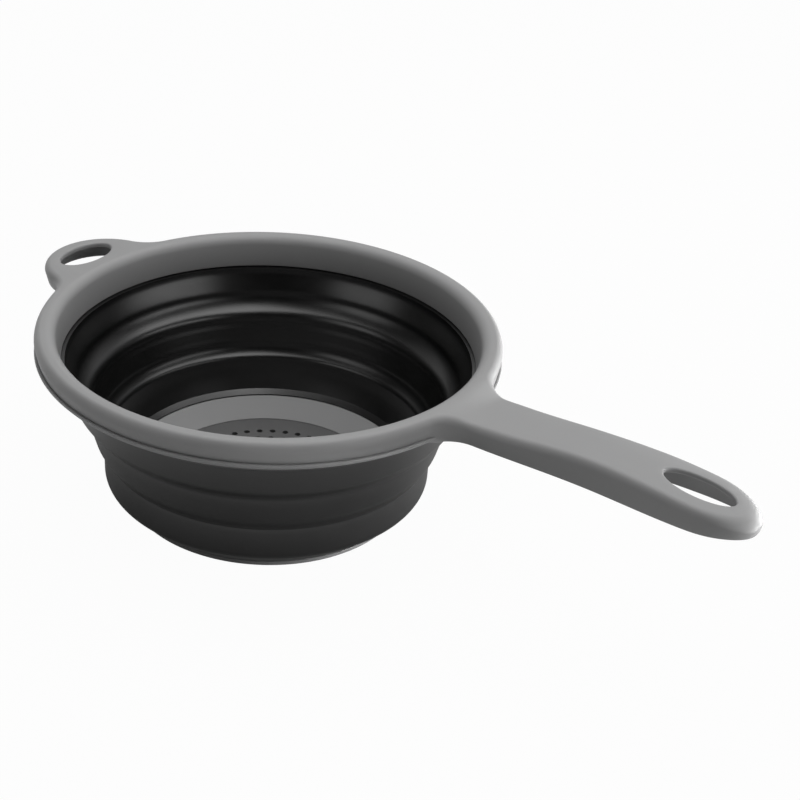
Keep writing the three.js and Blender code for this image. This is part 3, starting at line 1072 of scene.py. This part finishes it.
    def upper_band(self) -> Piece:
        """Builds the stiff band under the rim, with its hidden stem and its lip over the upper fold.

        Returns:
            The piece.
        """
        stem = self.leg_bottom - self.stem_gap
        gap = self.web + self.web_gap
        tip_radius = self.middle_top + self.wall + self.lip_clear[0]
        tip = (tip_radius, self.middle_high - self.lip_overlap)
        lip_top, neck = tip[1] + self.lip_rise, stem - self.stem_drop
        bead = self.cuff_high - self.bead_height
        shaft, throat, inner = self.stem_radii
        under, outer, back = self.bead_radii
        seam, ease = self.cuff_seam, self.seam_ease
        hidden = rounded([
            (self.cuff(lip_top) + self.wall, lip_top, 0.0), (self.cuff(neck) + self.wall, neck, 0.0015),
            (shaft, stem - 0.0005, 0.0008), (throat, bead, 0.0), (under, bead, 0.0005),
            (outer, self.cuff_high, 0.0005), (back, self.cuff_high, 0.0005), (inner, stem, 0.0003),
            (self.face.radius(stem), stem, 0.0),
            (self.face.radius(seam), seam, 0.0), (self.face.radius(seam) + gap, seam, 0.0),
        ])
        inside = self.face.points(stem - ease, seam + ease, steps=12)
        behind = self.face.points(seam - ease, tip[1] + 0.0045, gap)
        section = [*self.lip(tip, self.cuff), *hidden[1:-2], *inside, *hidden[-2:], *behind]
        section.append((tip[0] + self.lip_blunt[0], tip[1] + self.lip_blunt[1]))
        return turned("upper_band_skin", section, self.palette.rubber)

    def fold_piece(self, name: str, band: Curve, seam: float, step: float, top: float) -> Piece:
        """Builds a fold together with the edges of the bands that it joins, so that no seam shows.

        Args:
            name: name of the piece.
            band: inner radius of the band below, by height.
            seam: height where the piece ends within the band below.
            step: height where the fold begins on that band.
            top: height where the piece ends within the band above.

        Returns:
            The piece, with rings close enough to turn inside out smoothly.
        """
        turn, end = step + 0.0003, step + 0.002
        corners = [
            (band(seam) + self.wall, seam, 0.0), (band(step) + self.wall, step, 0.0012),
            (self.face.radius(turn) + self.web, turn, 0.0003), (self.face.radius(end) + self.web, end, 0.0),
        ]
        bend = rounded(corners, 5)[:-1]
        outside = [*bend, *self.face.points(step + 0.001, top, self.web, 44)]
        inside = self.face.points(top, seam, steps=60)
        return turned(name, [*outside, *inside], self.palette.rubber)

    def middle_band(self) -> Piece:
        """Builds the middle band between its seams, with the lip over the lower fold.

        Returns:
            The piece.
        """
        gap = self.web + self.web_gap
        tip = (self.drum_top + self.wall + self.lip_clear[1], self.drum_high - self.lip_overlap)
        face, low, high = self.face.radius, self.middle_seam, self.seam
        section = [
            *self.lip(tip, self.middle),
            (self.middle(high) + self.wall, high), (face(high), high),
            (face(low), low), (face(low) + gap, low),
            *self.face.points(low - self.seam_ease, tip[1] + 0.005, gap),
            (tip[0] + 0.0002, tip[1] + 0.003),
            (tip[0] + self.lip_blunt[0], tip[1] + self.lip_blunt[1]),
        ]
        return turned("middle_band_skin", section, self.palette.rubber)

    def lower_drum(self) -> Piece:
        """Builds the drum below its seam, its cone to the foot and the flange that the base holds.

        Returns:
            The piece.
        """
        low, seam, clamp = self.drum_low, self.drum_seam, self.clamp
        flange, seat_z = low + self.flange_height, clamp.z + self.seat_gap
        inner, outer = self.flange_radii
        shown = rounded([
            (inner, low, 0.0), (self.cone_foot, low, 0.0008),
            (self.cone_foot + self.cone_run, self.shoulder - 0.0012, 0.005),
            (self.drum(seam) + self.wall, seam, 0.0),
        ])
        wall = self.face.points(seam, clamp.z + self.seat_rise)
        seat = rounded([
            (*wall[-2], 0.0), (*wall[-1], 0.0015), (clamp.x - self.seat_reach, seat_z, 0.0002),
            (clamp.x + 0.0006, seat_z, 0.0), (outer, flange, 0.0), (inner, flange, 0.0),
        ])
        return turned("lower_drum_skin", [*shown, *wall[:-2], *seat], self.palette.rubber)

    def ring(self) -> Piece:
        """Builds the retaining ring, with the bead that shows below the skirt.

        Returns:
            The piece.
        """
        low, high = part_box("rim_retaining_ring")
        outer, bottom, top = high.y, low.z, high.z
        flange, shown = bottom + self.ring_flange, outer + self.bead_reach
        inside, wall = (outer - inset for inset in self.ring_inset)
        bead_low, bead_high = (bottom + rise for rise in self.bead_rise)
        corners = [
            (inside, bottom, 0.0004), (outer + 0.0002, bottom, 0.0004),
            (shown, bead_low, 0.0002), (shown, bead_high, 0.0004), (outer + 0.0005, bead_high, 0.0),
            (outer + 0.0003, flange, 0.0), (wall, flange, 0.0), (wall, top, 0.0003), (inside, top, 0.0003),
        ]
        return turned("retaining_ring_skin", rounded(corners, 4), self.palette.grey)

    def build(self) -> list[Piece]:
        """Builds the bands and folds, ties the bands to their bodies and bakes the folds in place.

        Returns:
            The pieces.
        """
        ends = (self.seam, self.middle_high, self.cuff_seam)
        upper_fold = self.fold_piece("upper_fold_skin", self.middle, *ends)
        ends = (self.drum_seam, self.drum_high, self.middle_seam)
        lower_fold = self.fold_piece("lower_fold_skin", self.drum, *ends)
        bands = [
            (self.upper_band(), "upper_band", Body.RIM),
            (self.middle_band(), "middle_band", Body.MIDDLE),
            (self.lower_drum(), "lower_drum", Body.BASE),
        ]
        for piece, node, body in bands:
            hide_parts(node)
            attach(piece, body.value)
        folds = [
            (upper_fold, "upper_fold", Body.RIM, Body.MIDDLE, self.fold_high, self.middle_high),
            (lower_fold, "lower_fold", Body.MIDDLE, Body.BASE, self.lower_high, self.drum_high),
        ]
        for piece, node, above, below, high, low in folds:
            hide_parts(node)
            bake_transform(piece)
        ring = self.ring()
        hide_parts("rim_retaining_ring")
        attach(ring, Body.RIM.value)
        return [*(b[0] for b in bands), *(f[0] for f in folds), ring]


# Drain base


@dataclass
class DrainBase:
    """Perforated base plate and the light clamp ring round its floor."""

    palette: Palette
    collar: float = 0.0024
    foot: float = 0.0019
    foot_shown: float = 0.0014
    floor_drop: float = 0.0066
    floor_thickness: float = 0.0022
    clamp_height: float = 0.0046
    clamp_width: float = 0.0139
    clamp_base: float = 0.0616
    clamp_seat: float = 0.0026
    clamp_edge: float = 0.0004
    clamp_sink: float = 0.0001
    weld_rib: float = 0.0575
    weld_width: float = 0.002
    weld_gap: float = 0.0003
    hub_radius: float = 0.007
    hub_sides: int = 48
    hole_diameter: float = 0.0028
    hole_sides: int = 20
    hole_pitch: float = 0.0064
    hole_margin: float = 0.0113
    ribs: int = 6
    rib_width: float = 0.0016
    rib_low: float = 0.0008
    rib_sink: float = 0.0004
    rib_overlap: float = 0.001

    def __post_init__(self) -> None:
        """Takes the overall sizes from the frame."""
        low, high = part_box("base_clamp_ring")
        self.clamp_outer = high.x
        self.clamp_low = low.z
        self.clamp_top = high.z
        self.clamp_inner = self.clamp_outer - self.clamp_width
        self.foot_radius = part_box("base_plate")[1].x
        self.floor_top = self.clamp_top - self.floor_drop
        self.floor_low = self.floor_top - self.floor_thickness
        self.collar_outer = self.weld_rib - self.weld_width - self.weld_gap
        self.collar_inner = self.collar_outer - self.collar

    def clamp_ring(self) -> Piece:
        """Builds the clamp ring, which slopes down to the floor.

        Returns:
            The piece.
        """
        base = self.clamp_top - self.clamp_height
        edge = self.floor_top - self.clamp_sink
        inner, outer, weld = self.clamp_inner, self.clamp_outer, self.weld_rib
        behind = weld - self.weld_width
        corners = [
            (inner, edge, 0.0002), (behind, edge, 0.0), (behind, self.clamp_low, 0.0),
            (weld, self.clamp_low, 0.0), (weld, base, 0.0), (self.clamp_base, base, 0.0),
            (outer, self.clamp_top, 0.0003), (outer - self.clamp_seat, self.clamp_top, 0.001),
            (inner, edge + self.clamp_edge, 0.0006),
        ]
        return turned("clamp_ring_skin", rounded(corners, 5), self.palette.clamp)

    def plate(self) -> Piece:
        """Builds the base plate and drills its floor with a node tree.

        Returns:
            The piece.
        """
        inner, outer, low, top = self.collar_inner, self.collar_outer, self.floor_low, self.floor_top
        corners = [
            (0.0, low, 0.0), (inner, low, 0.0004), (inner, 0.0, 0.0004),
            (outer, 0.0, 0.0), (outer, top, 0.0003), (0.0, top, 0.0),
        ]
        blank = turned("drain_plate", rounded(corners, 4), self.palette.floor)
        radius = self.clamp_inner - self.hole_margin
        lengths = {"Outer Ring": radius, "Ring Pitch": self.hole_pitch}
        lengths |= {"Hole Radius": self.hole_diameter / 2, "Hole Depth": self.floor_thickness * 3}
        tree = RepeatTree("drain_holes", lengths)
        entry = tree.entry
        size = {"Vertices": self.hole_sides, "Radius": entry["Hole Radius"], "Depth": entry["Hole Depth"]}
        drill = tree.node("GeometryNodeMeshCylinder", size).outputs["Mesh"]
        rings = tree.node("GeometryNodeJoinGeometry")
        index = 0
        while radius > self.hub_radius + self.hole_pitch / 2:
            count = self.ribs * max(1, round(2 * math.pi * radius / (self.ribs * self.hole_pitch)))
            inset = tree.math("MULTIPLY", entry["Ring Pitch"], float(index))
            reach = tree.math("SUBTRACT", entry["Outer Ring"], inset)
            row = tree.node("GeometryNodeMeshCircle", {"Vertices": count, "Radius": reach}).outputs[0]
            placed = tree.moved(row, (top + low) / 2, math.pi / count)
            tree.wire(rings, {0: tree.copies(placed, drill)})
            radius -= self.hole_pitch
            index += 1
        drills = tree.node("GeometryNodeRealizeInstances", {"Geometry": rings.outputs[0]})
        meshes = {"Mesh 1": entry["Geometry"], "Mesh 2": drills.outputs[0]}
        cut = tree.node("GeometryNodeMeshBoolean", meshes, operation="DIFFERENCE", solver="EXACT")
        return tree.fill(blank, cut.outputs["Mesh"], self.palette.floor)

    def foot_ring(self) -> Piece:
        """Builds the rim of the plate that the colander stands on, in the clamp ring's lighter finish
        instead of the plate's, as painted light on a side that sits in shade.

        Returns:
            The piece.
        """
        inner, outer = self.collar_outer, self.foot_radius + self.foot_shown
        corners = [
            (inner, 0.0, 0.0), (outer, 0.0, 0.0005), (outer, self.foot, 0.0004), (inner, self.foot, 0.0)
        ]
        # Painted light: the lighter clamp finish makes the shaded foot read lit
        return turned("foot_ring", rounded(corners, 4), self.palette.clamp)

    def spokes(self) -> Piece:
        """Builds the ribs and hub under the floor with a node tree.

        Returns:
            The piece.
        """
        inner, hub_radius = self.collar_inner, self.hub_radius
        hub_height = self.floor_low + self.rib_sink
        height = hub_height - self.rib_low
        lengths = {"Spoke Length": inner - hub_radius + self.rib_overlap, "Spoke Width": self.rib_width}
        lengths |= {"Spoke Height": height, "Hub Radius": hub_radius}
        tree = RepeatTree("floor_spokes", lengths)
        middles = {"Vertices": self.ribs, "Radius": (inner + hub_radius) / 2}
        ring = tree.node("GeometryNodeMeshCircle", middles).outputs[0]
        lifted = tree.moved(ring, self.rib_low + height / 2)
        spoke = tree.block("Spoke Length", "Spoke Width", "Spoke Height")
        index = tree.node("GeometryNodeInputIndex").outputs[0]
        turn = tree.math("MULTIPLY", index, 2 * math.pi / self.ribs)
        facing = tree.node("ShaderNodeCombineXYZ", {"Z": turn}).outputs[0]
        size = {"Vertices": self.hub_sides, "Radius": tree.entry["Hub Radius"], "Depth": hub_height}
        hub = tree.node("GeometryNodeMeshCylinder", size).outputs["Mesh"]
        both = tree.node("GeometryNodeJoinGeometry")
        for part in (tree.copies(lifted, spoke, {"Rotation": facing}), tree.moved(hub, hub_height / 2)):
            tree.wire(both, {0: part})
        return tree.fill(empty_piece("floor_spokes"), both.outputs[0], self.palette.floor)

    def build(self) -> list[Piece]:
        """Builds and mounts the base pieces.

        Returns:
            The pieces.
        """
        ring, plate, foot, spokes = self.clamp_ring(), self.plate(), self.foot_ring(), self.spokes()
        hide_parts("base_clamp_ring")
        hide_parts("base_plate")
        made = [ring, plate, foot, spokes]
        for piece in made:
            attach(piece, Body.BASE.value)
        return made


# Camera, light and floor


def direction(azimuth: float, elevation: float) -> Vector:
    """Gives the unit vector at an azimuth from +X and an elevation, in degrees."""
    turn, lift = math.radians(azimuth), math.radians(elevation)
    return Vector((math.cos(turn) * math.cos(lift), math.sin(turn) * math.cos(lift), math.sin(lift)))


@dataclass(frozen=True)
class Softbox:
    """A rectangular studio lamp aimed at the colander."""

    name: str
    azimuth: float
    elevation: float
    distance: float
    size: Pair
    power: float

    def place(self, target: Vector) -> None:
        """Hangs the lamp and turns it to the target.

        Args:
            target: the place that it lights.
        """
        lamp = bpy.data.lights.new(self.name, "AREA")
        lamp.shape = "RECTANGLE"
        lamp.size, lamp.size_y = self.size
        lamp.energy = self.power
        out = direction(self.azimuth, self.elevation)
        holder = bpy.data.objects.new(self.name, lamp)
        holder.location = target + out * self.distance
        holder.rotation_mode = "QUATERNION"
        holder.rotation_quaternion = (-out).to_track_quat("-Z", "Y")
        bpy.context.scene.collection.objects.link(holder)


@dataclass
class Studio:
    """Camera at the photograph's angle, soft light and a plain pale floor."""

    lens: float = 67.5
    sensor: float = 36.0
    clip_start: float = 0.01
    distance: float = 0.65945
    azimuth: float = 36.8
    elevation: float = 28.832
    aim_height: float = 0.06
    tilt: float = 29.744
    pan: float = -5.717
    roll: float = 4.497
    lamp_target: Triple = (0.03, 0, 0.05)
    floor_half: float = 6.0
    floor_tone: float = 0.42
    shade_share: float = 0.03
    # Painted reflection: glossy rays see the floor glow white away from the bowl, with a painted shadow
    # near its foot
    painted_reflection_share: Pair = (0.06, 0.8)
    painted_reflection_reach: Pair = (0.096, 0.16)
    sky_tones: Pair = (0.0015, 0.6)
    sky_span: Pair = (0.1, 0.8)

    def camera(self) -> None:
        """Places the camera, by azimuth from -Y."""
        aim = Vector((0, 0, self.aim_height))
        place = aim + direction(self.azimuth - 90, self.elevation) * self.distance
        heading = Matrix.Rotation(math.radians(self.azimuth + self.pan), 3, "Z")
        rise = Matrix.Rotation(math.radians(90 - self.tilt), 3, "X")
        facing = heading @ rise @ Matrix.Rotation(math.radians(self.roll), 3, "Z")
        data = bpy.data.cameras.new("camera")
        data.lens = self.lens
        data.sensor_width = self.sensor
        data.clip_start = self.clip_start
        holder = bpy.data.objects.new("camera", data)
        holder.matrix_world = Matrix.Translation(place) @ facing.to_4x4()
        bpy.context.scene.collection.objects.link(holder)
        bpy.context.scene.camera = holder

    def lamps(self) -> None:
        """Hangs the softboxes, by azimuth from +X."""
        boxes = (
            Softbox("overhead", 88.0, 78.0, 1.3, (1.6, 1.6), 18.2),
            Softbox("left", 247.0, 25.0, 1.3, (0.8, 0.8), 1.8),
            Softbox("right", 12.0, 18.0, 1.3, (1.2, 0.6), 3.4),
            Softbox("right_low", 38.0, 0.0, 0.9, (1.0, 0.1), 12.5),
        )
        for box in boxes:
            box.place(Vector(self.lamp_target))

    def floor(self) -> Piece:
        """Lays the pale floor, white to the camera but for a part of its shade, and clear from below. To
        glossy rays it glows white as a painted reflection, dimmed near the bowl's foot as a painted shadow.

        Returns:
            The floor.
        """
        floor = empty_piece("floor")
        corners = [(-1, -1), (1, -1), (1, 1), (-1, 1)]
        verts = [(x * self.floor_half, y * self.floor_half, 0) for x, y in corners]
        floor.data.from_pydata(verts, [], [(0, 1, 2, 3)])
        material = bpy.data.materials.new("pale_floor")
        material.use_nodes = True
        wiring = Wiring(material.node_tree)
        wiring.tree.nodes.clear()
        place = wiring.node("ShaderNodeTexCoord").outputs["Object"]
        away = wiring.node("ShaderNodeVectorMath", {0: place}, operation="LENGTH").outputs["Value"]
        # Painted reflection and painted shadow: white glow for glossy rays, rising with distance from the
        # bowl's foot
        share = wiring.ranged(away, self.painted_reflection_reach, self.painted_reflection_share, "SMOOTHSTEP")
        path = wiring.node("ShaderNodeLightPath").outputs
        painted_reflection = wiring.math("MULTIPLY", path["Is Glossy Ray"], share)
        seen = wiring.math("MULTIPLY_ADD", path["Is Camera Ray"], 1 - self.shade_share, painted_reflection)
        matt = wiring.node("ShaderNodeBsdfDiffuse", {"Color": (self.floor_tone,) * 3 + (1,)}).outputs[0]
        white = wiring.node("ShaderNodeEmission").outputs[0]
        top = wiring.node("ShaderNodeMixShader", {0: seen, 1: matt, 2: white}).outputs[0]
        back = wiring.node("ShaderNodeNewGeometry").outputs["Backfacing"]
        clear = wiring.node("ShaderNodeBsdfTransparent").outputs[0]
        both = wiring.node("ShaderNodeMixShader", {0: back, 1: top, 2: clear}).outputs[0]
        wiring.node("ShaderNodeOutputMaterial", {"Surface": both})
        floor.data.materials.append(material)
        return floor

    def world(self) -> None:
        """Sets a plain sky, white where it is seen; as light, bright behind the colander and dim before."""
        world = bpy.data.worlds.new("studio")
        bpy.context.scene.world = world
        world.use_nodes = True
        wiring = Wiring(world.node_tree)
        turn = math.radians(self.azimuth)
        aims = {0: wiring.node("ShaderNodeTexCoord").outputs["Generated"]}
        aims[1] = (-math.sin(turn), math.cos(turn), 0)
        behind = wiring.node("ShaderNodeVectorMath", aims, operation="DOT_PRODUCT").outputs["Value"]
        level = wiring.ranged(behind, self.sky_span, self.sky_tones, "SMOOTHSTEP")
        camera = wiring.node("ShaderNodeLightPath").outputs["Is Camera Ray"]
        sky = {"Color": (1, 1, 1, 1), "Strength": wiring.math("MAXIMUM", level, camera)}
        wiring.wire(world.node_tree.nodes["Background"], sky)

    def build(self) -> None:
        """Sets up the camera, light, floor and view."""
        self.camera()
        self.lamps()
        self.world()
        self.floor()
        bpy.context.scene.view_settings.view_transform = "Standard"


def main() -> None:
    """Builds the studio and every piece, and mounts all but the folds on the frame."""
    logging.basicConfig(level=logging.INFO)
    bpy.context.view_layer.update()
    Studio().build()
    palette = Palette()
    for assembly in (RimFrame(palette), SoftWall(palette), DrainBase(palette)):
        for piece in assembly.build():
            LOG.info("%s: %d faces", piece.name, len(piece.data.polygons))


if __name__ == "__main__":
    main()
